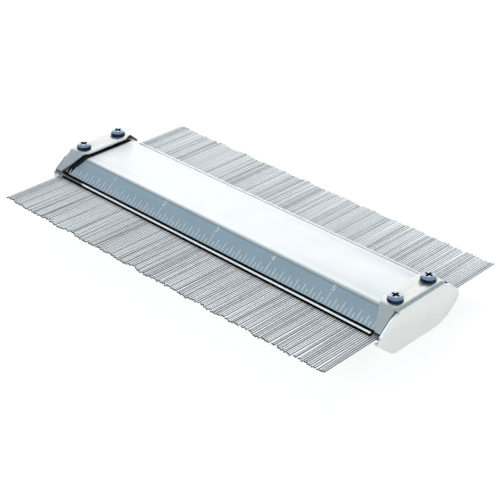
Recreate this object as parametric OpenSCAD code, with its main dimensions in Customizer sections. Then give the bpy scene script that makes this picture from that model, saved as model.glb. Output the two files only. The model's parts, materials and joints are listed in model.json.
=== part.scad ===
// Pin contour gauge: a row of steel pins held by friction between two bent sheet covers.
// X runs along the row, Y along each pin with the scale side at -Y, and Z is up.
// The origin is under the middle of the row, on the surface that the gauge lies on.
// The pieces are drawn about the axis of the pins and then lifted. The two halves are alike,
// apart from the heads of their screws and the ears of their straps.

/* [Body] */
// Length over the outer faces of the two end plates
gauge_length = 152.4; // [130:0.1:170]
// Width of a cover's flat top between its two fold lines
cover_flat_w = 21.7; // [20:0.1:26]
// Height of a cover from its seat on the guide plate to its top
cover_h = 5.8; // [5:0.1:8]
// Slope of the flanks of the covers and of the end caps
flank_angle = 39; // [33:0.5:45]
// Thickness of the cover sheet
cover_sheet = 0.8; // [0.6:0.05:1]
// Outside radius of a cover's folds
cover_fold_r = 2.2; // [1.2:0.1:2.6]

/* [End caps] */
// Thickness of the cap sheet
cap_sheet = 0.8; // [0.6:0.05:1]
// Depth of a strap, from the outer face of the end plate
strap_w = 8.4; // [7.4:0.1:10]
// Open gap between a strap and the cover under it
strap_gap = 0.9; // [0.4:0.05:1.2]
// Outside radius of the bend between an end plate and its straps
cap_bend_r = 1.55; // [1.3:0.05:1.7]
// Relief slot at each end of that bend
bend_relief = 0.15; // [0.1:0.05:0.3]
// How much larger the fold between a strap and its ears is than two of those bends
ear_fold_extra = 0.2; // [0.1:0.05:0.4]
// Length of strap, beside each ear's fold, over which its inner edge starts to turn
ear_corner = 1.5; // [0.5:0.1:3]
// Depth of an ear at its fold, from the outer face of the end plate
ear_neck_w = 6.9; // [5:0.1:8]
// Depth of an ear at its foot, from the outer face of the end plate
ear_foot_w = 2.7; // [2:0.1:4]
// Height of an ear's foot above the guide plate
ear_foot_h = 0.9; // [0.4:0.1:2]
// The same height for the shorter ears of a lower strap
low_ear_foot_h = 3.2; // [0.9:0.1:4]
// Slit between an ear and the end plate
ear_slit = 0.35; // [0.2:0.05:0.6]
// How far the end plate's cut edge starts inside its outline, beside the bend
edge_rise = 1; // [0.5:0.1:1.4]
// Length over which that edge rises to the outline
edge_rise_l = 3; // [1:0.1:5]
// Radius of the round noses of an end plate
nose_r = 3.4; // [2:0.1:3.6]

/* [Pins] */
// Diameter of a pin
pin_d = 0.64; // [0.5:0.02:1]
// Length of a pin
pin_length = 85.5; // [70:0.5:110]
// Gap between neighbouring pins
pin_gap = 0.16; // [0.06:0.02:0.3]
// Least gap between the last pin and the end spacer
row_end_gap = 0.15; // [0.1:0.05:0.4]
// Largest shift of a pin out of line with its neighbours
pin_wander = 0.35; // [0:0.05:1]
// Largest shift of a bunch of neighbouring pins out of line with the row
bunch_wander = 0.4; // [0:0.05:1]

/* [Guide plates] */
// Thickness of the guide sheet
guide_sheet = 0.5; // [0.4:0.05:0.7]
// Running clearance between a pin and a guide plate
guide_clear = 0.05; // [0.03:0.01:0.1]
// Open gap between a cover's lower edge and the lip in front of it
lip_gap = 1.15; // [0.6:0.05:1.6]
// Height of a lip over the face that guides the pins
lip_h = 1.35; // [1.1:0.05:1.8]
// Outside radius of the bend under a lip
lip_bend_r = 0.6; // [0.55:0.05:0.9]
// Distance from the outer face of the end plate to the end of a lip
lip_setback = 4.6; // [3:0.1:8]
// Gap between the end of a guide plate and the end plate
guide_end_gap = 0.1; // [0.05:0.05:0.3]

/* [Inner pieces] */
// Width of a friction pad
pad_w = 16; // [10:0.5:17]
// Running clearance between a friction pad and the pins
pad_clear = 0.04; // [0.02:0.01:0.1]
// Clearance round a friction pad in its window
window_clear = 0.2; // [0.1:0.05:0.4]
// Gap between the end of a friction pad and the tapped bar
pad_end_gap = 1.5; // [0.5:0.1:4]
// Width of a tapped bar along the gauge
bar_w = 5; // [4.4:0.1:6]
// Thickness of a tapped bar
bar_t = 2.7; // [2:0.1:3]
// Gap between a tapped bar and the cover's folds
bar_side_gap = 0.2; // [0.1:0.05:0.6]
// Width of an end spacer along the gauge
spacer_w = 1.2; // [0.8:0.1:1.4]
// How far the end of an end spacer stands back from the cover's lower edge
spacer_inset = 0.2; // [0:0.1:1]

/* [Screws] */
// Diameter of a screw's shank
screw_d = 2.96; // [2.4:0.02:3]
// Diameter of a screw's head
head_d = 5.2; // [4.8:0.1:5.8]
// Height of an upper screw's pan head
head_h = 1.9; // [1.6:0.1:2.6]
// Height of the straight side of that head
head_side_h = 0.6; // [0.4:0.1:1.4]
// Height of a lower screw's thin flat head
low_head_h = 0.6; // [0.5:0.05:0.8]
// Height of the straight side of that head
low_head_side_h = 0.35; // [0.25:0.05:0.4]
// Width of an arm of the cross recess
recess_w = 0.9; // [0.6:0.1:1]
// Length over two arms of the cross recess
recess_l = 2.9; // [2.2:0.1:3.2]
// Depth of the cross recess in a pan head
recess_depth = 1; // [0.8:0.1:1.3]
// Depth of the cross recess in a flat head
low_recess_depth = 0.4; // [0.3:0.05:0.45]
// How far a screw's tip stands out of the tapped bar
tip_proud = 0.2; // [0:0.1:0.8]
// Distance from a cover's fold line to a screw's axis
screw_edge = 2.6; // [2.4:0.1:4]
// Radial clearance of a screw in its tapped hole
thread_clear = 0.02; // [0.01:0.01:0.05]
// Radial clearance of a screw in the strap, the washer and the cover
hole_clear = 0.17; // [0.1:0.01:0.3]
// Width of the ring of a spacer washer
washer_ring = 0.35; // [0.3:0.05:0.45]

/* [Hidden] */
$fn = 64;
// Each cut reaches this far past the piece that it opens
past = 1;
// Pins are listed in this many groups, and each group slides by itself
pin_groups = 37;
// Steps of the angles that shift each pin, and each bunch, a little out of line
wander_step = 137.5;
bunch_step = 23;

half_length = gauge_length / 2;
plate_inner_x = half_length - cap_sheet;

// Heights above the axis of the pins
guide_z = pin_d / 2 + guide_clear;
seat_z = guide_z + guide_sheet;
cover_top = seat_z + cover_h;
strap_under = cover_top + strap_gap;
cap_top = strap_under + cap_sheet;
bend_z = cap_top - cap_bend_r;
ear_fold_r = 2 * cap_bend_r + ear_fold_extra;
shoulder_z = cap_top - ear_fold_r;
rest_h = cap_top + low_head_h;
ear_foot_z = seat_z + ear_foot_h;
low_ear_foot_z = seat_z + low_ear_foot_h;

// Fold lines and the cover's lower edge, measured from the middle of the gauge
cover_fold_y = cover_flat_w / 2;
half_fold = tan(flank_angle / 2);
cover_flat_y = cover_fold_y - cover_fold_r * half_fold;
cover_flank_l = flank_length(cover_top, cover_fold_r, cover_sheet, seat_z);
cover_edge_y = cover_flat_y + cover_fold_r * sin(flank_angle) + cover_flank_l * cos(flank_angle);
guide_w = 2 * (cover_edge_y + lip_gap + guide_sheet);
strap_fold_y = cover_fold_y + (strap_gap + cap_sheet) * half_fold;
strap_flat_y = strap_fold_y - ear_fold_r * half_fold;

// The end plate's point, before its nose is rounded, and the centre of that nose
plate_point_y = strap_fold_y + cap_top / tan(flank_angle);
nose_y = plate_point_y - nose_r / sin(flank_angle);

// Row of pins
pin_pitch = pin_d + pin_gap;
row_half = plate_inner_x - spacer_w - row_end_gap - pin_d / 2;
pin_count = floor(2 * row_half / pin_pitch) + 1;

// Screws
screw_x = half_length - strap_w / 2;
screw_y = cover_fold_y - screw_edge;
bar_top = cover_top - cover_sheet;
bar_bottom = bar_top - bar_t;
hole_r = screw_d / 2 + hole_clear;
pad_half_l = screw_x - bar_w / 2 - pad_end_gap;

function pin_node(group) = str("pins_", group < 10 ? "0" : "", group);

// First pin of a group; the pins are shared out evenly
function first_pin(group) = floor((group - 1) * pin_count / pin_groups);

// A pin's place in the row, and its small shift along its own length
function pin_x(index) = (index - (pin_count - 1) / 2) * pin_pitch;
function pin_shift(index) = pin_wander * sin(wander_step * index * index)
    + bunch_wander * sin(bunch_step * index) * cos(bunch_step * index / 5);

// Tools for bent sheet

// A cross-section in Y and Z, run along X between two places
module along_length(from, to) {
    translate([from, 0, 0]) rotate([90, 0, 90]) linear_extrude(to - from) children();
}

// Cross-section of a bend: a sector of a ring between two angles
module bend_section(outside_r, thick, from, to) {
    reach = 2 * outside_r;
    middle = (from + to) / 2;
    intersection() {
        difference() {
            circle(r = outside_r);
            circle(r = outside_r - thick);
        }
        polygon([
            [0, 0],
            reach * [cos(from), sin(from)],
            reach * [cos(middle), sin(middle)],
            reach * [cos(to), sin(to)]
        ]);
    }
}

// Cross-section of a fold beside a flat top, with the flank that slopes down from it
module fold_and_flank(fold_r, sheet, flank_l) {
    reach = 2 * fold_r;
    difference() {
        circle(r = fold_r);
        circle(r = fold_r - sheet);
        translate([-reach, -reach]) square([reach, 2 * reach]);
        rotate(-flank_angle) translate([0, -reach]) square([reach, 2 * reach]);
    }
    flank_section(fold_r, sheet, flank_l);
}

// Straight length of a flank from its fold down to foot_z
function flank_length(top, fold_r, sheet, foot_z) =
    (top - fold_r + (fold_r - sheet) * cos(flank_angle) - foot_z) / sin(flank_angle);

// Cross-section of only the flank beside a fold
module flank_section(fold_r, sheet, flank_l) {
    rotate(-flank_angle) translate([0, fold_r - sheet]) square([flank_l, sheet]);
}

// Cross-section of a sheet bent over a flat top and down two flanks to foot_z
module roof_section(flat_y, top, fold_r, sheet, foot_z) {
    under = top - sheet;
    flank_l = flank_length(top, fold_r, sheet, foot_z);
    polygon([[-flat_y, under], [flat_y, under], [flat_y, top], [-flat_y, top]]);
    both_ends() translate([flat_y, top - fold_r]) fold_and_flank(fold_r, sheet, flank_l);
}

module both_ends() {
    children();
    mirror([1, 0, 0]) children();
}

module front_and_rear() {
    children();
    mirror([0, 1, 0]) children();
}

module turned_over() {
    mirror([0, 0, 1]) children();
}

// From the axis of the pins up to where the gauge lies on its lower screws
module lifted() {
    translate([0, 0, rest_h]) children();
}

// Round holes or pegs at the two screws of the right-hand strap
module at_screws() {
    for (side = [-1, 1]) translate([screw_x, side * screw_y, 0]) children();
}

// Covers

module cover_shape() {
    difference() {
        along_length(-plate_inner_x, plate_inner_x)
            roof_section(cover_flat_y, cover_top, cover_fold_r, cover_sheet, seat_z);
        both_ends() at_screws() translate([0, 0, bar_top - past])
            cylinder(r = hole_r, h = cover_sheet + 2 * past);
    }
}

module upper_cover() {
    color("gainsboro") lifted() cover_shape();
}

module lower_cover() {
    color("gainsboro") lifted() turned_over() cover_shape();
}

// End caps

// Long hexagon with round noses and rounded shoulders
module plate_outline() {
    slope_out = [sin(flank_angle), cos(flank_angle)];
    shoulder_end = [strap_flat_y, shoulder_z] + ear_fold_r * slope_out;
    nose_start = [nose_y, 0] + nose_r * slope_out;
    upper_right = [[strap_flat_y, cap_top], shoulder_end, nose_start];
    right = concat(upper_right, [for (i = [2 : -1 : 0]) [upper_right[i][0], -upper_right[i][1]]]);
    left = [for (i = [5 : -1 : 0]) [-right[i][0], right[i][1]]];
    polygon(concat(right, left));
    both_ends() {
        translate([nose_y, 0]) circle(r = nose_r);
        translate([strap_flat_y, shoulder_z]) circle(r = ear_fold_r);
        translate([strap_flat_y, -shoulder_z]) circle(r = ear_fold_r);
    }
}

// Corner that is cut off the plate beside a shoulder, so that its edge rises slowly to the outline
module edge_taper() {
    rotate(-flank_angle) polygon([
        [0, ear_fold_r - edge_rise],
        [edge_rise_l, ear_fold_r],
        [edge_rise_l, ear_fold_r + past],
        [0, ear_fold_r + past]
    ]);
}

// The flat part of the end plate, below the bends along its top and round its shoulders
module end_plate() {
    along_length(plate_inner_x, half_length) difference() {
        plate_outline();
        both_ends() front_and_rear() {
            translate([0, bend_z]) square([strap_flat_y, cap_bend_r + past]);
            translate([strap_flat_y, shoulder_z]) {
                bend_section(ear_fold_r + past, cap_bend_r + past, 90 - flank_angle, 90);
                edge_taper();
            }
        }
    }
}

// Cut that turns the inner edge of a strap at its corner and tapers the ear towards its foot
module ear_taper() {
    inner_x = half_length - strap_w;
    neck_x = half_length - ear_neck_w;
    foot_x = half_length - ear_foot_w;
    corner_y = strap_flat_y - ear_corner;
    neck_y = strap_flat_y + ear_fold_r * sin(flank_angle);
    foot_y = strap_fold_y + (cap_top - ear_foot_z) / tan(flank_angle);
    linear_extrude(cap_top + past) polygon([
        [inner_x - past, corner_y],
        [inner_x, corner_y],
        [neck_x, neck_y],
        [foot_x, foot_y],
        [foot_x, foot_y + past],
        [inner_x - past, foot_y + past]
    ]);
}

// Half of the bend between the plate and a strap: straight along the top, then round the shoulder
module half_bend() {
    bend_x = half_length - cap_bend_r;
    wrap = flank_angle - bend_relief / ear_fold_r * 180 / PI;
    translate([bend_x, strap_flat_y, bend_z]) rotate([90, 0, 0])
        linear_extrude(strap_flat_y) bend_section(cap_bend_r, cap_sheet, 0, 90);
    translate([bend_x, strap_flat_y, shoulder_z]) rotate([0, -90, 0]) rotate_extrude(angle = wrap)
        translate([ear_fold_r - cap_bend_r, 0]) bend_section(cap_bend_r, cap_sheet, -90, 0);
}

// Strap bent over from the upper edge of the end plate, with an ear down each flank to foot_z
module strap(foot_z) {
    inner_x = half_length - strap_w;
    bend_x = half_length - cap_bend_r;
    outer_x = plate_inner_x - ear_slit;
    flank_l = flank_length(cap_top, ear_fold_r, cap_sheet, foot_z);
    difference() {
        union() {
            along_length(inner_x, bend_x)
                roof_section(strap_flat_y, cap_top, ear_fold_r, cap_sheet, foot_z);
            along_length(bend_x, outer_x) both_ends()
                translate([strap_flat_y, shoulder_z]) flank_section(ear_fold_r, cap_sheet, flank_l);
        }
        front_and_rear() ear_taper();
        at_screws() translate([0, 0, strap_under - past])
            cylinder(r = hole_r, h = cap_sheet + 2 * past);
    }
    front_and_rear() half_bend();
}

module end_cap_shape() {
    end_plate();
    strap(ear_foot_z);
    turned_over() strap(low_ear_foot_z);
}

module right_end_cap() {
    color("whitesmoke") lifted() union() end_cap_shape();
}

module left_end_cap() {
    color("whitesmoke") lifted() mirror([1, 0, 0]) union() end_cap_shape();
}

// Guide plates

module guide_section() {
    bend_y = guide_w / 2 - lip_bend_r;
    polygon([[-bend_y, guide_z], [bend_y, guide_z], [bend_y, seat_z], [-bend_y, seat_z]]);
    both_ends() translate([bend_y, guide_z + lip_bend_r]) {
        bend_section(lip_bend_r, guide_sheet, -90, 0);
        translate([lip_bend_r - guide_sheet, 0]) square([guide_sheet, lip_h - lip_bend_r]);
    }
}

module guide_plate_shape() {
    half_l = plate_inner_x - guide_end_gap;
    lip_half_l = half_length - lip_setback;
    window_half_l = pad_half_l + window_clear;
    window_half_w = pad_w / 2 + window_clear;
    difference() {
        along_length(-half_l, half_l) guide_section();
        both_ends() front_and_rear() translate([lip_half_l, cover_edge_y, guide_z - past])
            cube([half_l - lip_half_l + past, guide_w / 2 - cover_edge_y + past, lip_h + 2 * past]);
        translate([-window_half_l, -window_half_w, guide_z - past])
            cube([2 * window_half_l, 2 * window_half_w, guide_sheet + 2 * past]);
    }
}

module upper_guide_plate() {
    color("lightsteelblue") lifted() guide_plate_shape();
}

module lower_guide_plate() {
    color("lightsteelblue") lifted() turned_over() guide_plate_shape();
}

// Friction pads: they reach from the cover down through the window to the pins

module pad_shape() {
    pad_z = pin_d / 2 + pad_clear;
    translate([-pad_half_l, -pad_w / 2, pad_z]) cube([2 * pad_half_l, pad_w, bar_top - pad_z]);
}

module upper_pad() {
    color("dimgray") lifted() pad_shape();
}

module lower_pad() {
    color("dimgray") lifted() turned_over() pad_shape();
}

// End spacers: strips in the plane of the pins that hold the guide plates apart

module spacer_shape() {
    half_w = cover_edge_y - spacer_inset;
    translate([plate_inner_x - spacer_w, -half_w, -guide_z]) cube([spacer_w, 2 * half_w, 2 * guide_z]);
}

module right_spacer() {
    color("darkgray") lifted() spacer_shape();
}

module left_spacer() {
    color("darkgray") lifted() mirror([1, 0, 0]) spacer_shape();
}

// Tapped bars: they lie under the cover's top, between its flanks

module bar_shape() {
    top_half_w = cover_flat_y - bar_side_gap;
    foot_half_w = top_half_w + bar_t / tan(flank_angle);
    difference() {
        along_length(screw_x - bar_w / 2, screw_x + bar_w / 2) polygon([
            [-foot_half_w, bar_bottom],
            [foot_half_w, bar_bottom],
            [top_half_w, bar_top],
            [-top_half_w, bar_top]
        ]);
        at_screws() translate([0, 0, bar_bottom - past])
            cylinder(r = screw_d / 2 + thread_clear, h = bar_t + 2 * past);
    }
}

module upper_right_bar() {
    color("slategray") lifted() bar_shape();
}

module upper_left_bar() {
    color("slategray") lifted() mirror([1, 0, 0]) bar_shape();
}

module lower_right_bar() {
    color("slategray") lifted() turned_over() bar_shape();
}

module lower_left_bar() {
    color("slategray") lifted() turned_over() mirror([1, 0, 0]) bar_shape();
}

// Cap screws: a head with a cross recess, and a shank down through the tapped bar

// Half outline of a head: a flat crown, a rounded edge and a straight side
module head_outline(height, side_h) {
    head_r = head_d / 2;
    edge_r = height - side_h;
    square([head_r - edge_r, height]);
    square([head_r, side_h]);
    translate([head_r - edge_r, side_h]) intersection() {
        circle(r = edge_r);
        square([edge_r, edge_r]);
    }
}

module screw(height, side_h, depth) {
    shank_l = cap_top - bar_bottom + tip_proud;
    difference() {
        union() {
            rotate_extrude() head_outline(height, side_h);
            translate([0, 0, -shank_l]) cylinder(d = screw_d, h = shank_l);
        }
        for (turn = [0, 90]) rotate(turn)
            translate([-recess_l / 2, -recess_w / 2, height - depth])
                cube([recess_l, recess_w, depth + past]);
    }
}

module upper_screws() {
    at_screws() translate([0, 0, cap_top]) screw(head_h, head_side_h, recess_depth);
}

module lower_screws() {
    turned_over() at_screws() translate([0, 0, cap_top])
        screw(low_head_h, low_head_side_h, low_recess_depth);
}

module upper_right_screws() {
    color("lightsteelblue") lifted() upper_screws();
}

module upper_left_screws() {
    color("lightsteelblue") lifted() mirror([1, 0, 0]) upper_screws();
}

module lower_right_screws() {
    color("lightsteelblue") lifted() lower_screws();
}

module lower_left_screws() {
    color("lightsteelblue") lifted() mirror([1, 0, 0]) lower_screws();
}

// Spacer washers: they fill the gap between a strap and the cover

module washer_pair() {
    at_screws() translate([0, 0, cover_top]) difference() {
        cylinder(r = hole_r + washer_ring, h = strap_gap);
        translate([0, 0, -past]) cylinder(r = hole_r, h = strap_gap + 2 * past);
    }
}

module upper_right_washers() {
    color("silver") lifted() washer_pair();
}

module upper_left_washers() {
    color("silver") lifted() mirror([1, 0, 0]) washer_pair();
}

module lower_right_washers() {
    color("silver") lifted() turned_over() washer_pair();
}

module lower_left_washers() {
    color("silver") lifted() turned_over() mirror([1, 0, 0]) washer_pair();
}

// Pins: straight lengths of wire, side by side in one plane

module pin(index) {
    translate([pin_x(index), pin_shift(index), 0]) rotate([90, 0, 0])
        cylinder(d = pin_d, h = pin_length, center = true);
}

module pin_group(group) {
    color("silver") lifted() for (index = [first_pin(group) : first_pin(group + 1) - 1]) pin(index);
}

upper_cover();
lower_cover();
left_end_cap();
right_end_cap();
upper_guide_plate();
lower_guide_plate();
upper_pad();
lower_pad();
left_spacer();
right_spacer();
upper_left_bar();
upper_right_bar();
lower_left_bar();
lower_right_bar();
upper_left_screws();
upper_right_screws();
lower_left_screws();
lower_right_screws();
upper_left_washers();
upper_right_washers();
lower_left_washers();
lower_right_washers();
for (group = [1 : pin_groups])
    pin_group(group);
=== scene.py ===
# %% [markdown]
# # A pin contour gauge
#
# A contour gauge is a row of thin steel pins, held by friction in a bent sheet-metal body. Pressed
# against a moulding, the pins slide back and copy its shape. This lesson dresses the gauge's exact
# solids: the bent sheets get rolled and plated finishes with rounded edges, the pins become lightly
# bent wires, and the scale is laid on the front flank.

import json
import math
import random

import bmesh
import bpy
from mathutils import Matrix, Vector


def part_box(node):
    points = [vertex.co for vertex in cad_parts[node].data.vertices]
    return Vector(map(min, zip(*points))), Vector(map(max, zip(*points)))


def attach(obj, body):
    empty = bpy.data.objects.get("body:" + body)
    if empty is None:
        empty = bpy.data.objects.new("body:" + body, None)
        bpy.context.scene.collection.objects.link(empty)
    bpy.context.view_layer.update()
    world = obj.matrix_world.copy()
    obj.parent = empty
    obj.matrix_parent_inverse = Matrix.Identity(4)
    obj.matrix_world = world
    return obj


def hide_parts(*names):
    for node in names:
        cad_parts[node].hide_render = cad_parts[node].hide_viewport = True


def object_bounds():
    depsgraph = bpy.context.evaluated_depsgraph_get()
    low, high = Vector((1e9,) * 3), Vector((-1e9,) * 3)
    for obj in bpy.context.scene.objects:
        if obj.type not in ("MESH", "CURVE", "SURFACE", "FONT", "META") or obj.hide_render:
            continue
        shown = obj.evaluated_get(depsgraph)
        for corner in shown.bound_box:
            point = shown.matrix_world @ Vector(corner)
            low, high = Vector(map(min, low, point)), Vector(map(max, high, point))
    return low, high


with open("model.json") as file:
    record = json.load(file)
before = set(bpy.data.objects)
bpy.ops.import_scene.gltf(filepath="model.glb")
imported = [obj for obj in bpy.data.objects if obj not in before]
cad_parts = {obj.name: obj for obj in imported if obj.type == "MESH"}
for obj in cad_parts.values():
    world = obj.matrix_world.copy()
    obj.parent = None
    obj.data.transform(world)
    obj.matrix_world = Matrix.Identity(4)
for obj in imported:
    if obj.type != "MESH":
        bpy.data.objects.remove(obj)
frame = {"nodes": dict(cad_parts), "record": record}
cad_low, cad_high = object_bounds()
nodes = frame["nodes"]
scene = bpy.context.scene
MM = 0.001
pin_low, pin_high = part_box("pins_01")
PIN_D = pin_high.z - pin_low.z
PIN_Z = (pin_high.z + pin_low.z) / 2
print("solids:", len(nodes), "size in mm:", [round(s / MM, 2) for s in cad_high - cad_low])

# %% [markdown]
# ## The camera
#
# A long lens looks down on the near right-hand end. The camera could be aimed with a tracking
# constraint, but its place was found by fitting the scale marks and the body's edges, which gives two
# angles, a roll, a distance and a small sideways shift about the middle of the row. Those values build
# its matrix directly.

# %% Camera
VIEW_TURN = math.radians(42.894)
VIEW_RISE = math.radians(30.474)
VIEW_ROLL = math.radians(1.420)
VIEW_DISTANCE = 437.478 * MM
VIEW_SLIDE = 3.225 * MM
VIEW_DROP = -6.845 * MM
SENSOR_W = 36
LENS = 92.59
NEAREST = 10 * MM

look_back = Vector((
    math.sin(VIEW_TURN) * math.cos(VIEW_RISE),
    -math.cos(VIEW_TURN) * math.cos(VIEW_RISE),
    math.sin(VIEW_RISE),
))
level_right = (-look_back).cross(Vector((0, 0, 1))).normalized()
level_up = level_right.cross(-look_back)
lens_right = math.cos(VIEW_ROLL) * level_right + math.sin(VIEW_ROLL) * level_up
lens_up = math.cos(VIEW_ROLL) * level_up - math.sin(VIEW_ROLL) * level_right
row_middle = Vector((0, 0, PIN_Z))
camera_place = row_middle + look_back * VIEW_DISTANCE
camera_place += level_right * VIEW_SLIDE + level_up * VIEW_DROP

camera_data = bpy.data.cameras.new("camera")
camera_data.sensor_fit = "HORIZONTAL"
camera_data.sensor_width = SENSOR_W
camera_data.lens = LENS
camera_data.clip_start = NEAREST
camera = bpy.data.objects.new("camera", camera_data)
camera.matrix_world = Matrix((lens_right, lens_up, look_back)).transposed().to_4x4()
camera.location = camera_place
scene.collection.objects.link(camera)
scene.camera = camera
print("camera is", round((camera_place - row_middle).length, 3), "m from the middle of the row")

# %% [markdown]
# ## Floor and light
#
# The gauge lies on a white table. A bright wall stands behind it on the left, and the rest of the room is
# a dim blue grey. Plated metal shows its surroundings: the flat top faces that wall and turns white, while
# the flank and the bends face the room and turn grey, and the front flank's grey is also painted shade. Two
# lamps add plain light, a key lamp on the wall's side and a broad fill lamp in front. The floor glows a
# little for the camera and for reflections, which keeps it white, and it still takes a soft shadow.

# %% Floor, sky and lamps
FLOOR_Z = cad_low.z
FLOOR_HALF = 3
FLOOR_WHITE = (0.9, 0.9, 0.9, 1)
FLOOR_GLOW = 1.08
GLOW_SHARE = 0.8
WALL_TOWARDS = (-0.642, 0.696, 0.321)
WALL_EDGE = (0.6, 0.9)
WALL_WHITE = (1.12, 1.12, 1.12)
ROOM_GREY = (0.29, 0.36, 0.41)
scene.view_settings.view_transform = "Standard"


def node_link(tree, start, end):
    """Joins an output to an input."""
    tree.links.new(start, end)


def value_node(tree, operation, first, second=None):
    """A Math node with its inputs linked or set."""
    maths = tree.nodes.new("ShaderNodeMath")
    maths.operation = operation
    for socket, given in zip(maths.inputs, (first, second)):
        if isinstance(given, (int, float)):
            socket.default_value = given
        elif given is not None:
            node_link(tree, given, socket)
    return maths.outputs["Value"]


def range_node(tree, value, low, high, to_low, to_high, smooth=True):
    """A Map Range node that turns low..high into to_low..to_high."""
    ramp = tree.nodes.new("ShaderNodeMapRange")
    ramp.interpolation_type = "SMOOTHSTEP" if smooth else "LINEAR"
    node_link(tree, value, ramp.inputs["Value"])
    ends = {"From Min": low, "From Max": high, "To Min": to_low, "To Max": to_high}
    for name, number in ends.items():
        ramp.inputs[name].default_value = number
    return ramp.outputs["Result"]


def mix_colour(tree, factor, first, second, blend="MIX"):
    """A colour Mix node between two colours or sockets."""
    mix = tree.nodes.new("ShaderNodeMix")
    mix.data_type = "RGBA"
    mix.blend_type = blend
    if isinstance(factor, (int, float)):
        mix.inputs["Factor"].default_value = factor
    else:
        node_link(tree, factor, mix.inputs["Factor"])
    for socket, given in ((mix.inputs["A"], first), (mix.inputs["B"], second)):
        if isinstance(given, tuple):
            socket.default_value = (*given, 1)
        else:
            node_link(tree, given, socket)
    return mix.outputs["Result"]


floor_mesh = bpy.data.meshes.new("floor")
floor_bm = bmesh.new()
bmesh.ops.create_grid(floor_bm, x_segments=1, y_segments=1, size=FLOOR_HALF)
bmesh.ops.translate(floor_bm, verts=floor_bm.verts, vec=(0, 0, FLOOR_Z))
floor_bm.to_mesh(floor_mesh)
floor_bm.free()
floor = bpy.data.objects.new("floor", floor_mesh)
scene.collection.objects.link(floor)

floor_white = bpy.data.materials.new("floor_white")
floor_white.use_nodes = True
tree = floor_white.node_tree
tree.nodes.clear()
paint = tree.nodes.new("ShaderNodeBsdfDiffuse")
paint.inputs["Color"].default_value = FLOOR_WHITE
glow = tree.nodes.new("ShaderNodeEmission")
glow.inputs["Strength"].default_value = FLOOR_GLOW
rays = tree.nodes.new("ShaderNodeLightPath")
seen = value_node(tree, "MAXIMUM", rays.outputs["Is Camera Ray"], rays.outputs["Is Glossy Ray"])
seen = value_node(tree, "MAXIMUM", seen, rays.outputs["Is Transmission Ray"])
mix = tree.nodes.new("ShaderNodeMixShader")
node_link(tree, value_node(tree, "MULTIPLY", seen, GLOW_SHARE), mix.inputs["Fac"])
node_link(tree, paint.outputs["BSDF"], mix.inputs[1])
node_link(tree, glow.outputs["Emission"], mix.inputs[2])
out = tree.nodes.new("ShaderNodeOutputMaterial")
node_link(tree, mix.outputs["Shader"], out.inputs["Surface"])
floor_mesh.materials.append(floor_white)

room = bpy.data.worlds.new("room")
room.use_nodes = True
scene.world = room
tree = room.node_tree
tree.nodes.clear()
direction = tree.nodes.new("ShaderNodeTexCoord")
towards_wall = tree.nodes.new("ShaderNodeVectorMath")
towards_wall.operation = "DOT_PRODUCT"
towards_wall.inputs[1].default_value = WALL_TOWARDS
node_link(tree, direction.outputs["Generated"], towards_wall.inputs[0])
wall = range_node(tree, towards_wall.outputs["Value"], *WALL_EDGE, 0, 1)
sky = tree.nodes.new("ShaderNodeBackground")
node_link(tree, mix_colour(tree, wall, ROOM_GREY, WALL_WHITE), sky.inputs["Color"])
out = tree.nodes.new("ShaderNodeOutputWorld")
node_link(tree, sky.outputs["Background"], out.inputs["Surface"])


def hang_lamp(name, place, width, depth, power):
    """An oblong lamp that faces the gauge. It lights, and is left out of reflections."""
    lamp_data = bpy.data.lights.new(name, "AREA")
    lamp_data.shape = "RECTANGLE"
    lamp_data.size = width
    lamp_data.size_y = depth
    lamp_data.energy = power
    lamp = bpy.data.objects.new(name, lamp_data)
    lamp.location = place
    lamp.rotation_euler = (-lamp.location).to_track_quat("-Z", "Y").to_euler()
    lamp.visible_glossy = False
    scene.collection.objects.link(lamp)


hang_lamp("key", place=(-0.49, 0.59, 0.56), width=0.3, depth=0.3, power=8.8)
hang_lamp("fill", place=(0.1, -0.82, 0.48), width=0.9, depth=0.4, power=6.5)
print("floor at", round(FLOOR_Z / MM, 2), "mm, sky and two lamps")

# %% [markdown]
# ## Shared surface effects
#
# Nearly every piece here is steel sheet or wire, so one group of nodes draws what they have in common: the
# long fine lines that rolling or drawing leaves, the soft clouds of a plated surface and a few slanting
# scuffs. It puts out plain values, and each finish decides how much of them goes into its colour, gloss
# and bump.

# %% Node group: drawn and plated metal
SCUFF_TURN = (0.3, 0.2, 0.65)
SCUFF_STRETCH = (60, 1400, 1400)
SCUFF_EDGE = (0.66, 0.74)


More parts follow.
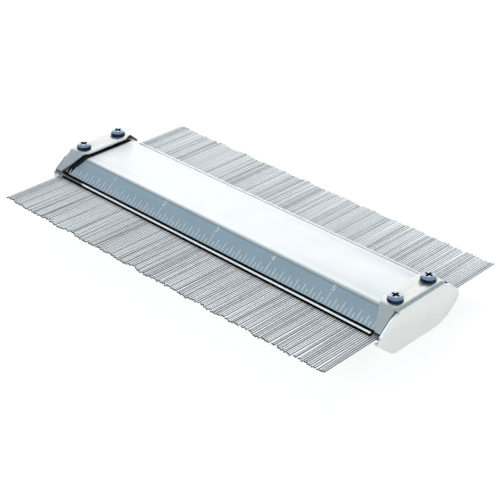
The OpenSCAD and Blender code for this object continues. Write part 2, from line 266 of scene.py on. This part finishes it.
def make_metal_group():
    """Lines, clouds and scuffs of worked metal, in the object's own coordinates."""
    group = bpy.data.node_groups.new("worked_metal", "ShaderNodeTree")
    face = group.interface
    face.new_socket("Lines across", in_out="INPUT", socket_type="NodeSocketVector")
    face.new_socket("Cloud size", in_out="INPUT", socket_type="NodeSocketFloat")
    for name in ("Lines", "Clouds", "Scuffs"):
        face.new_socket(name, in_out="OUTPUT", socket_type="NodeSocketFloat")
    given = group.nodes.new("NodeGroupInput")
    result = group.nodes.new("NodeGroupOutput")
    place = group.nodes.new("ShaderNodeTexCoord")

    stretch = group.nodes.new("ShaderNodeVectorMath")
    stretch.operation = "MULTIPLY"
    node_link(group, place.outputs["Object"], stretch.inputs[0])
    node_link(group, given.outputs["Lines across"], stretch.inputs[1])
    lines = group.nodes.new("ShaderNodeTexNoise")
    lines.inputs["Scale"].default_value = 1
    lines.inputs["Detail"].default_value = 3
    node_link(group, stretch.outputs["Vector"], lines.inputs["Vector"])
    node_link(group, lines.outputs["Fac"], result.inputs["Lines"])

    clouds = group.nodes.new("ShaderNodeTexNoise")
    clouds.inputs["Detail"].default_value = 5
    clouds.inputs["Roughness"].default_value = 0.6
    node_link(group, place.outputs["Object"], clouds.inputs["Vector"])
    node_link(group, given.outputs["Cloud size"], clouds.inputs["Scale"])
    node_link(group, clouds.outputs["Fac"], result.inputs["Clouds"])

    turned = group.nodes.new("ShaderNodeMapping")
    turned.inputs["Rotation"].default_value = SCUFF_TURN
    turned.inputs["Scale"].default_value = SCUFF_STRETCH
    node_link(group, place.outputs["Object"], turned.inputs["Vector"])
    scuffs = group.nodes.new("ShaderNodeTexNoise")
    scuffs.inputs["Scale"].default_value = 1
    scuffs.inputs["Detail"].default_value = 1
    node_link(group, turned.outputs["Vector"], scuffs.inputs["Vector"])
    scuffed = range_node(group, scuffs.outputs["Fac"], *SCUFF_EDGE, 0, 1)
    node_link(group, scuffed, result.inputs["Scuffs"])
    return group


worked_metal = make_metal_group()
CLOUD_SPREAD = (0.3, 0.7)
LINE_SPREAD = (0.25, 0.75)
CLOUD_SHARE = 0.6
LINE_SHARE = 0.4
SCUFF_ROUGHNESS = 0.3
LINE_DEPTH = 0.02 * MM


def metal_finish(
    name, dark, light, gloss, lines_across, cloud_size, metallic=1.0, line_bump=0.05, scuffed=0.25
):
    """A procedural metal: colour between dark and light, roughness between the two values of gloss."""
    material = bpy.data.materials.new(name)
    material.use_nodes = True
    tree = material.node_tree
    shader = tree.nodes["Principled BSDF"]
    shader.inputs["Metallic"].default_value = metallic
    worked = tree.nodes.new("ShaderNodeGroup")
    worked.node_tree = worked_metal
    worked.inputs["Lines across"].default_value = lines_across
    worked.inputs["Cloud size"].default_value = cloud_size
    clouds = range_node(tree, worked.outputs["Clouds"], *CLOUD_SPREAD, 0, 1)
    lines = range_node(tree, worked.outputs["Lines"], *LINE_SPREAD, 0, 1)
    cloud_part = value_node(tree, "MULTIPLY", clouds, CLOUD_SHARE)
    tone = value_node(tree, "ADD", cloud_part, value_node(tree, "MULTIPLY", lines, LINE_SHARE))
    colour = mix_colour(tree, tone, dark, light)
    node_link(tree, colour, shader.inputs["Base Color"])
    rough = range_node(tree, tone, 0, 1, gloss[0], gloss[1], smooth=False)
    scuffs = value_node(tree, "MULTIPLY", worked.outputs["Scuffs"], scuffed * SCUFF_ROUGHNESS)
    rough = value_node(tree, "ADD", rough, scuffs)
    node_link(tree, rough, shader.inputs["Roughness"])
    bump = tree.nodes.new("ShaderNodeBump")
    bump.inputs["Strength"].default_value = line_bump
    bump.inputs["Distance"].default_value = LINE_DEPTH
    node_link(tree, worked.outputs["Lines"], bump.inputs["Height"])
    node_link(tree, bump.outputs["Normal"], shader.inputs["Normal"])
    return material


# %% [markdown]
# ## The finishes
#
# The covers are bright zinc-plated sheet with a cool tint, the end caps a paler and smoother sheet, and the
# guide plates a bright strip. The screws have a blue zinc finish, and the pins are drawn wire whose sheared
# ends are darkened with painted shade. Rolled sheet has its lines along the gauge, so they are stretched
# along X.

# %% Sheet, wire and screw finishes
ALONG_X = (50, 2600, 2600)
ALONG_Y = (2600, 50, 2600)
ALL_ROUND = (700, 700, 700)
cover_plate = metal_finish(
    "cover_plate", (0.70, 0.72, 0.725), (0.78, 0.79, 0.79), (0.32, 0.40), ALONG_X, 90, metallic=0.25
)
cap_plate = metal_finish(
    "cap_plate", (0.74, 0.76, 0.74), (0.79, 0.81, 0.78), (0.26, 0.31), ALL_ROUND, 160,
    metallic=0.8, line_bump=0.006, scuffed=0.02,
)
# Painted shade for the insides of the upper straps and ears and for the rear ears' edges
cap_inside_shade = metal_finish(
    "cap_inside_shade", (0.015, 0.017, 0.02), (0.04, 0.043, 0.048), (0.4, 0.6), ALL_ROUND, 160
)
# Bare metal of cut edges and lower straps' insides; its near-white colour is partly a painted highlight
bare_edge_and_highlight = metal_finish(
    "bare_edge_and_highlight", (0.90, 0.92, 0.92), (0.98, 0.99, 0.99), (0.5, 0.65), ALL_ROUND, 300, metallic=0.2
)
guide_bright = metal_finish(
    "guide_bright", (0.90, 0.91, 0.92), (0.97, 0.98, 0.98), (0.24, 0.34), ALONG_X, 120, metallic=0.2
)
# Painted shade for the front channel, the front lip's cut edge and the strip under the lip
channel_shade = metal_finish(
    "channel_shade", (0.01, 0.012, 0.015), (0.03, 0.034, 0.038), (0.5, 0.7), ALONG_X, 200
)
screw_zinc = metal_finish(
    "screw_zinc", (0.52, 0.62, 0.75), (0.64, 0.73, 0.84), (0.14, 0.24), ALL_ROUND, 400
)
# Painted shade for the heads' straight sides
screw_side = metal_finish(
    "screw_side", (0.012, 0.02, 0.06), (0.04, 0.055, 0.11), (0.3, 0.5), ALL_ROUND, 400
)
# Painted shade for the cross recesses
screw_recess_shade = metal_finish(
    "screw_recess_shade", (0.004, 0.005, 0.03), (0.012, 0.014, 0.06), (0.4, 0.6), ALL_ROUND, 400
)
# Painted shade for the wires' sheared tips
pin_end_shade = metal_finish("pin_end_shade", (0.03, 0.03, 0.035), (0.09, 0.09, 0.095), (0.45, 0.6), ALL_ROUND, 900)
inner_steel = metal_finish("inner_steel", (0.30, 0.31, 0.33), (0.42, 0.43, 0.45), (0.35, 0.5), ALONG_Y, 150)
washer_steel = metal_finish(
    "washer_steel", (0.06, 0.065, 0.07), (0.12, 0.125, 0.13), (0.35, 0.5), ALL_ROUND, 300
)

# %% [markdown]
# ## Shades in the finishes
#
# Plain studio light makes no shadow as deep as those on the real gauge, so some finishes carry painted
# shade, placed by the object's own coordinates: a painted blue grey shade on the front flank with two soft
# painted bands at its fold, painted shadow beside the left strap and painted shade along the covers' lower
# edges, a painted dark foot and a painted dark left end on the front lip, and painted shade down the wires'
# sides, with more of it in front. Heights are measured from the pins' axis.

# %% Shades by place
FRONT_EDGE_Y = -4 * MM
EAR_START_Y = 11 * MM
EAR_LEAN = 0.5


def front_half(tree, y):
    """1 on the front half, where the scale is, and 0 on the rear half."""
    return range_node(tree, y, FRONT_EDGE_Y, 0, 1, 0)


def split_place(tree):
    """The object's own coordinates as X, Y and height from the pins' axis."""
    place = tree.nodes.new("ShaderNodeTexCoord")
    split = tree.nodes.new("ShaderNodeSeparateXYZ")
    node_link(tree, place.outputs["Object"], split.inputs["Vector"])
    height = value_node(tree, "ABSOLUTE", value_node(tree, "SUBTRACT", split.outputs["Z"], PIN_Z))
    return split.outputs["X"], split.outputs["Y"], height


def shade_where(material, mask, shade):
    """Multiplies a finish by a shade where the mask is 1."""
    tree = material.node_tree
    shader = tree.nodes["Principled BSDF"]
    clean = shader.inputs["Base Color"].links[0].from_socket
    node_link(tree, mix_colour(tree, mask, clean, shade, "MULTIPLY"), shader.inputs["Base Color"])
    return material


def shade_near_row(material, start, end, shade):
    """Shades a finish up to a height of start from the pins' axis; the shade is gone at end."""
    tree = material.node_tree
    return shade_where(material, range_node(tree, split_place(tree)[2], start, end, 1, 0), shade)


def shade_front(material, low, high, fade, shade):
    """Shades the heights from low to high on the front half; both sides of the band fade out."""
    tree = material.node_tree
    _, y, height = split_place(tree)
    band = value_node(
        tree,
        "MULTIPLY",
        range_node(tree, height, low - fade, low, 0, 1),
        range_node(tree, height, high, high + fade, 1, 0),
    )
    return shade_where(material, value_node(tree, "MULTIPLY", front_half(tree, y), band), shade)


def shade_left_end(material, start, end, shade, front_only=False):
    """Shades the left end, from start to end; the border leans out as the ears' own edges do."""
    tree = material.node_tree
    x, y, _ = split_place(tree)
    from_middle = value_node(tree, "ABSOLUTE", y)
    past_flat = value_node(tree, "MAXIMUM", value_node(tree, "SUBTRACT", from_middle, EAR_START_Y), 0)
    border = value_node(tree, "ADD", x, value_node(tree, "MULTIPLY", past_flat, EAR_LEAN))
    mask = range_node(tree, border, start, end, 0, 1)
    if front_only:
        mask = value_node(tree, "MULTIPLY", mask, front_half(tree, y))
    return shade_where(material, mask, shade)


def wire_finish(name, dark, light):
    """Drawn wire with painted shade down its sides, where wires touch, and more of it on the front half."""
    wire = metal_finish(name, dark, light, (0.3, 0.45), ALONG_Y, 500, metallic=0.45)
    shade_near_row(wire, start=0.18 * PIN_D, end=0.36 * PIN_D, shade=(0.5, 0.5, 0.51))
    return shade_front(wire, 0, 0.2 * PIN_D, fade=0.18 * PIN_D, shade=(0.24, 0.24, 0.25))


wire_tones = [
    wire_finish("pin_wire_bright", (0.95, 0.96, 0.96), (0.99, 1.0, 1.0)),
    wire_finish("pin_wire_plain", (0.86, 0.87, 0.87), (0.94, 0.95, 0.95)),
    wire_finish("pin_wire_dull", (0.60, 0.61, 0.62), (0.76, 0.77, 0.77)),
]

# %% Painted shades on the covers
PAINTED_SHADOW = (0.05, 0.05, 0.06)
FLANK_TOP = 6.2 * MM
FLANK_RIM = 5.95 * MM
FOLD_LOW = 6.27 * MM
FOLD_HIGH = 6.52 * MM
COVER_FOOT = 1.1 * MM
STRAP_EDGE_X = -66.9 * MM
# Painted shade: the front flank is a darker blue grey, with a darker painted line at its top and a painted
# grey band on the fold
shade_front(cover_plate, 0, FLANK_TOP, fade=0.06 * MM, shade=(0.41, 0.51, 0.58))
shade_front(cover_plate, FLANK_RIM, FLANK_TOP, fade=0.08 * MM, shade=(0.72, 0.73, 0.72))
shade_front(cover_plate, FOLD_LOW, FOLD_HIGH, fade=0.07 * MM, shade=(0.63, 0.66, 0.66))
# Painted shadow of the left strap and its ears on the cover
shade_left_end(cover_plate, start=STRAP_EDGE_X, end=STRAP_EDGE_X - 0.3 * MM, shade=PAINTED_SHADOW)
# Painted shade along the covers' lower edges, over the gap to the guide lip
shade_near_row(cover_plate, start=COVER_FOOT, end=COVER_FOOT + 0.2 * MM, shade=PAINTED_SHADOW)

# %% Painted shades on the front lip
LIP_FOOT = 0.92 * MM
LIP_SHADE_X = -55.9 * MM
# Painted shade on the lip's foot, which reads as a dark line over the pins
shade_front(guide_bright, 0, LIP_FOOT, fade=0.08 * MM, shade=(0.03, 0.03, 0.035))
# Painted shade on the front lip's left end, near the left cap
shade_left_end(guide_bright, start=LIP_SHADE_X, end=LIP_SHADE_X - 2 * MM, shade=(0.12, 0.13, 0.13), front_only=True)

# %% Rubber
GRAIN_SIZE = 1500
GRAIN_SPREAD = (0.3, 0.7)
GRAIN_ROUGHNESS = (0.65, 0.85)


def rubber_finish(name, dark, light):
    """Matt black rubber with a fine grain."""
    material = bpy.data.materials.new(name)
    material.use_nodes = True
    tree = material.node_tree
    shader = tree.nodes["Principled BSDF"]
    place = tree.nodes.new("ShaderNodeTexCoord")
    grain = tree.nodes.new("ShaderNodeTexNoise")
    grain.inputs["Scale"].default_value = GRAIN_SIZE
    grain.inputs["Detail"].default_value = 4
    node_link(tree, place.outputs["Object"], grain.inputs["Vector"])
    node_link(tree, mix_colour(tree, grain.outputs["Fac"], dark, light), shader.inputs["Base Color"])
    rough = range_node(tree, grain.outputs["Fac"], *GRAIN_SPREAD, *GRAIN_ROUGHNESS)
    node_link(tree, rough, shader.inputs["Roughness"])
    return material


pad_rubber = rubber_finish("pad_rubber", (0.012, 0.012, 0.013), (0.03, 0.03, 0.032))
print("finishes:", len(bpy.data.materials))

# %% [markdown]
# ## Rounded edges on the bent sheets
#
# Blanked sheet never has a razor edge, and a tiny rounding is what catches the light. The solids are
# right in shape, so each sheet is a copy of its solid: doubles merged, flat triangles joined, and every
# sharp edge bevelled by less than a tenth of a millimetre. The copy then stands for the solid.

# %% A dressed copy of a solid
SHARP = math.radians(50)
SMOOTH_UNDER = math.radians(32)
FLAT_UNDER = math.radians(0.6)
MERGE_UNDER = 0.0005 * MM
SHEET_ROUND = 0.07 * MM
LIP_ROUND = 0.05 * MM
SCREW_ROUND = 0.06 * MM
# A face counts as level above the first Z of its normal, and as upright below the second
LEVEL = 0.5
UPRIGHT = 0.4


def place_piece(bm, name, materials, body, replaced=()):
    """Turns a bmesh into a finished piece that rides on a body."""
    mesh = bpy.data.meshes.new(name)
    bm.to_mesh(mesh)
    bm.free()
    for polygon in mesh.polygons:
        polygon.use_smooth = True
    mesh.set_sharp_from_angle(angle=SMOOTH_UNDER)
    for material in materials:
        mesh.materials.append(material)
    piece = bpy.data.objects.new(name, mesh)
    scene.collection.objects.link(piece)
    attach(piece, body)
    if replaced:
        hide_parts(*replaced)


def clean_copy(node):
    """The node's solid as a clean bmesh: merged, with flat triangles joined."""
    bm = bmesh.new()
    bm.from_mesh(nodes[node].data)
    bmesh.ops.remove_doubles(bm, verts=bm.verts, dist=MERGE_UNDER)
    bmesh.ops.dissolve_limit(bm, angle_limit=FLAT_UNDER, verts=bm.verts, edges=bm.edges)
    return bm


def round_edges(bm, width):
    """Bevels each sharp edge by a small width."""
    sharp = [e for e in bm.edges if len(e.link_faces) == 2 and e.calc_face_angle(0) > SHARP]
    bmesh.ops.bevel(
        bm, geom=sharp, offset=width, offset_type="OFFSET", segments=2, profile=0.5,
        affect="EDGES", material=-1, clamp_overlap=True,
    )
    return len(sharp)


def dressed(node, materials, width, mark=None):
    """A copy of a node with rounded edges; mark gives each face the number of its material."""
    bm = clean_copy(node)
    count = round_edges(bm, width)
    for face in bm.faces:
        face.material_index = mark(face) if mark else 0
    place_piece(bm, "dressed_" + node, materials, "body", [node])
    print(node, "edges rounded:", count)


for node in ("upper_cover", "lower_cover"):
    dressed(node, [cover_plate], SHEET_ROUND)

# %% [markdown]
# ## End caps
#
# The caps are blanked and bent, so their cut edges are bare, and their near-white finish is also a painted
# highlight. The insides of the upper straps and ears carry a dark painted shade, which also darkens the
# open gap over the cover. The rear ears' edges carry the same painted shade, and the lower straps' insides
# get the near-white finish as painted light.

# %% Caps with painted highlights on cut edges and painted shade inside
_, cap_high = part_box("right_end_cap")
PLATE_SKIN = 0.78 * MM
PLATE_INSIDE_X = cap_high.x - PLATE_SKIN
# The plate's cut edge has a small X in its normals, and its round noses stay plain sheet
CUT_EDGE = 0.2
NOSE_HALF = 1.5 * MM


def cap_part(face):
    """0 for plain sheet, 1 for bare metal with a painted highlight, and 2 for painted shade inside an upper
    strap or ear and on the rear ears' edges.
    """
    centre, out = face.calc_center_median(), face.normal
    if abs(centre.x) > PLATE_INSIDE_X:
        return int(abs(out.x) < CUT_EDGE and abs(centre.z - PIN_Z) > NOSE_HALF)
    if centre.z < PIN_Z:
        return int(out.z > LEVEL)
    ear_edge = centre.y > EAR_START_Y and abs(out.z) < UPRIGHT
    return 2 if out.z < -LEVEL or ear_edge else 0


for node in ("left_end_cap", "right_end_cap"):
    dressed(node, [cap_plate, bare_edge_and_highlight, cap_inside_shade], SHEET_ROUND, cap_part)

# %% [markdown]
# ## Guide plates
#
# Each guide plate is a shallow tray. Only its lip is seen, as a bright strip in front of the cover, and
# the channel behind the front lip is a dark line of painted shade. The channel's faces get a second, dark
# material instead of a separate piece. Under the lip, the shadow in the gap over the pins is painted as a
# second dark line. That gap has no face of its own, so the painted shadow is a thin dark strip.

# %% Guide plates with a dark channel
guide_low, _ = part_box("upper_guide_plate")
CHANNEL_RISE = 0.3 * MM


def in_channel(face):
    """1, painted shade, for the floor of the front channel and the cut edge of its lip, and 0 elsewhere."""
    centre = face.calc_center_median()
    away = abs(centre.z - PIN_Z) > guide_low.z - PIN_Z + CHANNEL_RISE
    return int(away and abs(face.normal.z) > LEVEL and centre.y < 0)


for node in ("upper_guide_plate", "lower_guide_plate"):
    dressed(node, [guide_bright, channel_shade], LIP_ROUND, in_channel)

# %% Painted shadow under the front lip: a thin dark strip in the gap over the pins
LIP_SHADOW_LONG = 144 * MM
LIP_SHADOW_OUT = 0.4 * MM
LIP_SHADOW_IN = 0.8 * MM
LIP_SHADOW_FILL = 0.6
lip_gap = guide_low.z - pin_high.z
lip_shadow_at = (0, guide_low.y + (LIP_SHADOW_IN - LIP_SHADOW_OUT) / 2, pin_high.z + lip_gap / 2)
lip_shadow_size = (LIP_SHADOW_LONG, LIP_SHADOW_IN + LIP_SHADOW_OUT, lip_gap * LIP_SHADOW_FILL, 1)
lip_shadow_place = Matrix.Translation(lip_shadow_at) @ Matrix.Diagonal(lip_shadow_size)
lip_shadow_mesh = bmesh.new()
bmesh.ops.create_cube(lip_shadow_mesh, size=1, matrix=lip_shadow_place)
place_piece(lip_shadow_mesh, "lip_shadow_strip", [channel_shade], "body")

# %% [markdown]
# ## Screws
#
# The heads carry a cross recess. Its walls and floor carry painted shade, so the faces below the crown and
# close to the axis are nearly black. The straight side of a head is painted dark as shade too, and the
# crown is blue zinc.

# %% Screws with dark recesses and sides
RECESS_REACH = 1.4 * MM
RECESS_RIM = 0.1 * MM
RECESS_DEPTH = 1.05 * MM
SIDE_REACH = 2.5 * MM


def screw_part(node):
    """A marking for one pair of screws: 0 for zinc, 1 for painted shade on the sides of the heads, 2 for
    painted shade in the recesses.
    """
    low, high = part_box(node)
    crown_z = high.z if node.startswith("upper") else low.z
    axis_x = (low.x + high.x) / 2
    axis_y = high.y - (high.x - low.x) / 2

    def mark(face):
        centre = face.calc_center_median()
        depth = abs(crown_z - centre.z)
        reach = math.hypot(centre.x - axis_x, abs(centre.y) - axis_y)
        if RECESS_RIM < depth < RECESS_DEPTH and reach < RECESS_REACH:
            return 2
        return int(reach > SIDE_REACH and abs(face.normal.z) < UPRIGHT)

    return mark


for end in ("left", "right"):
    for half in ("upper", "lower"):
        node = f"{half}_{end}_screws"
        finishes = [screw_zinc, screw_side, screw_recess_shade]
        dressed(node, finishes, SCREW_ROUND, screw_part(node))

# %% [markdown]
# ## Pins
#
# The solids have straight pins. Real ones are thin wire and lean on each other in bunches, most of all
# near the right-hand end, so each pin is drawn again: a small circle, extruded along the pin in a few
# steps, with each step pushed a little sideways. A group keeps to its own width, so it can slide past its
# neighbours. Some wires are brighter than others.

# %% Bent wires for the pins
WIRE_SIDES = 8
TIP_CHAMFER = 0.1 * MM
TIP_SIZE = 0.7
TIP_ZONE = 0.08 * MM
NEAR_BEND, NEAR_LEAN = 7 * MM, 0.75
FAR_BEND, FAR_LEAN = 15 * MM, 0.3
BODY_REACH = 19.5 * MM
ROW_LENGTH = 150 * MM
MARGIN_SHARE = 0.7
EVEN_SHARE = 0.2
LEAST_SHARE = 0.004
WIRE_ZONE = 0.48
TONE_DRAW = (0, 0, 1, 1, 1, 2, 2)
wander = random.Random(11)
second_low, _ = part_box("pins_02")
PITCH = second_low.x - pin_high.x + PIN_D


def bunched(left, width, count):
    """Places of count wires side by side between two limits, with gaps less even to the right."""
    to_right = min(max(0.5 + left / ROW_LENGTH, 0), 1)
    power = 2 + 6 * to_right
    even = EVEN_SHARE * (1 - to_right) ** 2 + LEAST_SHARE
    shares = [wander.random() ** power + even for _ in range(count + 1)]
    free = width - count * PIN_D
    gaps = [free * share / sum(shares) for share in shares]
    return [left + PIN_D / 2 + sum(gaps[: k + 1]) + k * PIN_D for k in range(count)]


def draw_wire(bm, stations, tone):
    """A wire through stations of (x, y, size), made by extruding a circle."""
    x, y, size = stations[0]
    start = Matrix.Translation((x, y, PIN_Z)) @ Matrix.Rotation(math.pi / 2, 4, "X")
    circle = bmesh.ops.create_circle(
        bm, cap_ends=True, radius=PIN_D / 2 * size, segments=WIRE_SIDES, matrix=start
    )
    tip = circle["verts"][0].link_faces[0]
    tip.material_index = tone
    for next_x, next_y, next_size in stations[1:]:
        grown = bmesh.ops.extrude_face_region(bm, geom=[tip])["geom"]
        ring = [g for g in grown if isinstance(g, bmesh.types.BMVert)]
        tip = next(g for g in grown if isinstance(g, bmesh.types.BMFace))
        bmesh.ops.translate(bm, verts=ring, vec=(next_x - x, next_y - y, 0))
        spread = next_size / size
        about = Matrix.Translation((-next_x, -next_y, -PIN_Z))
        bmesh.ops.scale(bm, verts=ring, vec=(spread, 1, spread), space=about)
        x, y, size = next_x, next_y, next_size


def wire_group(node, body):
    """The wires of one group, at the places and lengths of its solid pins."""
    low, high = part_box(node)
    points = [v.co for v in nodes[node].data.vertices]
    count = len({round((p.x - low.x - PIN_D / 2) / PITCH) for p in points})
    margin = (PITCH - PIN_D) / 2 * MARGIN_SHARE
    left, width = low.x - margin, high.x - low.x + 2 * margin
    at_front = bunched(left, width, count)
    at_rear = bunched(left, width, count)
    bm = bmesh.new()
    ends = []
    for k in range(count):
        x = low.x + PIN_D / 2 + k * PITCH
        reach = [p.y for p in points if abs(p.x - x) < PITCH * WIRE_ZONE]
        front, rear = min(reach), max(reach)
        ends += [front, rear]
        lean_front, lean_rear = at_front[k] - x, at_rear[k] - x
        stations = [
            (x + lean_front, front, TIP_SIZE),
            (x + lean_front, front + TIP_CHAMFER, 1),
            (x + lean_front * NEAR_LEAN, front + NEAR_BEND, 1),
            (x + lean_front * FAR_LEAN, front + FAR_BEND, 1),
            (x, -BODY_REACH, 1),
            (x, BODY_REACH, 1),
            (x + lean_rear * FAR_LEAN, rear - FAR_BEND, 1),
            (x + lean_rear * NEAR_LEAN, rear - NEAR_BEND, 1),
            (x + lean_rear, rear - TIP_CHAMFER, 1),
            (x + lean_rear, rear, TIP_SIZE),
        ]
        draw_wire(bm, stations, wander.choice(TONE_DRAW))
    bmesh.ops.recalc_face_normals(bm, faces=bm.faces)
    # Faces at the tips get the tips' painted shade
    for face in bm.faces:
        y = face.calc_center_median().y
        if min(abs(y - end) for end in ends) < TIP_ZONE:
            face.material_index = len(wire_tones)
    wires = node.replace("pins", "wires")
    place_piece(bm, wires, [*wire_tones, pin_end_shade], body, [node])
    return count


pin_total = 0
for body, members in frame["record"]["behaviour"]["bodies"].items():
    for node in members:
        if node.startswith("pins_"):
            pin_total += wire_group(node, body)
print("wires:", pin_total, "pitch", round(PITCH / MM, 3), "mm")

# %% [markdown]
# ## The scale
#
# The front flank of the upper cover carries an inch scale. The marks are a pale print on the metal, so
# they are thin strips that lie on the flank, made in the flank's own plane and then turned into place.
# The figures start as text, because a font draws them better than hand-placed points would.

# %% Find the flank
cover = nodes["upper_cover"].data
flank_faces = [p for p in cover.polygons if p.normal.y < -LEVEL and p.normal.z > LEVEL]
flank_face = max(flank_faces, key=lambda p: p.area)
flank_out = flank_face.normal.copy()
flank_up = flank_out.cross(Vector((1, 0, 0)))
flank_up = flank_up if flank_up.z > 0 else -flank_up
flank_points = [cover.vertices[i].co for i in flank_face.vertices]
flank_foot = min(flank_points, key=lambda p: p.z)
print("flank slope", round(math.degrees(math.acos(flank_out.z)), 2), "degrees")


def on_flank(along, up):
    """The matrix of a place on the flank: X along the gauge, Y up the slope, Z out of the metal."""
    turn = Matrix((Vector((1, 0, 0)), flank_up, flank_out)).transposed().to_4x4()
    place = Vector((along, flank_foot.y, flank_foot.z)) + flank_up * up
    return Matrix.Translation(place) @ turn


# %% Finish of the print
scale_print = metal_finish(
    "scale_print", (0.52, 0.58, 0.60), (0.60, 0.66, 0.68), (0.5, 0.62), ALONG_X, 300, metallic=0.0
)

# %% Marks
INCH = 25.4 * MM
SIXTEENTH = INCH / 16
SCALE_START = 0.94 * MM
SCALE_HALF = 46
MARK_W = 0.23 * MM
MARK_RISE = 0.015 * MM
MARK_FOOT = 0.2 * MM
MARK_LENGTHS = {16: 4.3 * MM, 4: 3.5 * MM, 2: 3.1 * MM, 1: 1.9 * MM}


def mark_length(sixteenths):
    """Inches have the longest marks, then quarters, eighths and sixteenths."""
    return next(length for step, length in MARK_LENGTHS.items() if sixteenths % step == 0)


marks = bmesh.new()
for sixteenths in range(-SCALE_HALF, SCALE_HALF):
    along = sixteenths * SIXTEENTH + SCALE_START
    length = mark_length(sixteenths)
    size = Matrix.Diagonal((MARK_W, length, 2 * MARK_RISE, 1))
    bmesh.ops.create_cube(marks, size=1, matrix=on_flank(along, MARK_FOOT + length / 2) @ size)
place_piece(marks, "scale_marks", [scale_print], "body")
print("scale marks:", 2 * SCALE_HALF)

# %% Figures
FIGURE_H = 2.0 * MM
FIGURE_UP = 6.0 * MM
DIGIT_SHARE = 0.7
LAST_FIGURE = 5
MIDDLE_FIGURE = 3
for figure in range(1, LAST_FIGURE + 1):
    text = bpy.data.curves.new(f"figure_{figure}", "FONT")
    text.body = str(figure)
    text.align_x = "CENTER"
    text.align_y = "CENTER"
    text.size = FIGURE_H / DIGIT_SHARE
    text.extrude = MARK_RISE
    drawn = bpy.data.objects.new(f"figure_{figure}", text)
    scene.collection.objects.link(drawn)
    bpy.context.view_layer.update()
    shape = bpy.data.meshes.new_from_object(drawn)
    bpy.data.objects.remove(drawn)
    bm = bmesh.new()
    bm.from_mesh(shape)
    bmesh.ops.remove_doubles(bm, verts=bm.verts, dist=2 * MERGE_UNDER)
    along = (figure - MIDDLE_FIGURE) * INCH + SCALE_START
    bmesh.ops.transform(bm, verts=bm.verts, matrix=on_flank(along, FIGURE_UP))
    bmesh.ops.recalc_face_normals(bm, faces=bm.faces)
    place_piece(bm, f"scale_figure_{figure}", [scale_print], "body")
print("figures:", LAST_FIGURE)

# %% [markdown]
# ## Inner pieces
#
# The pads, tapped bars, spacers and washers are nearly hidden, and their solids are already right. They
# stay as they are and only get a finish.

# %% Finishes for the inner pieces
inner_finishes = {
    "_pad": pad_rubber,
    "_bar": inner_steel,
    "_spacer": inner_steel,
    "_washers": washer_steel,
}
for node, solid in nodes.items():
    for ending, finish in inner_finishes.items():
        if node.endswith(ending):
            solid.data.materials.clear()
            solid.data.materials.append(finish)
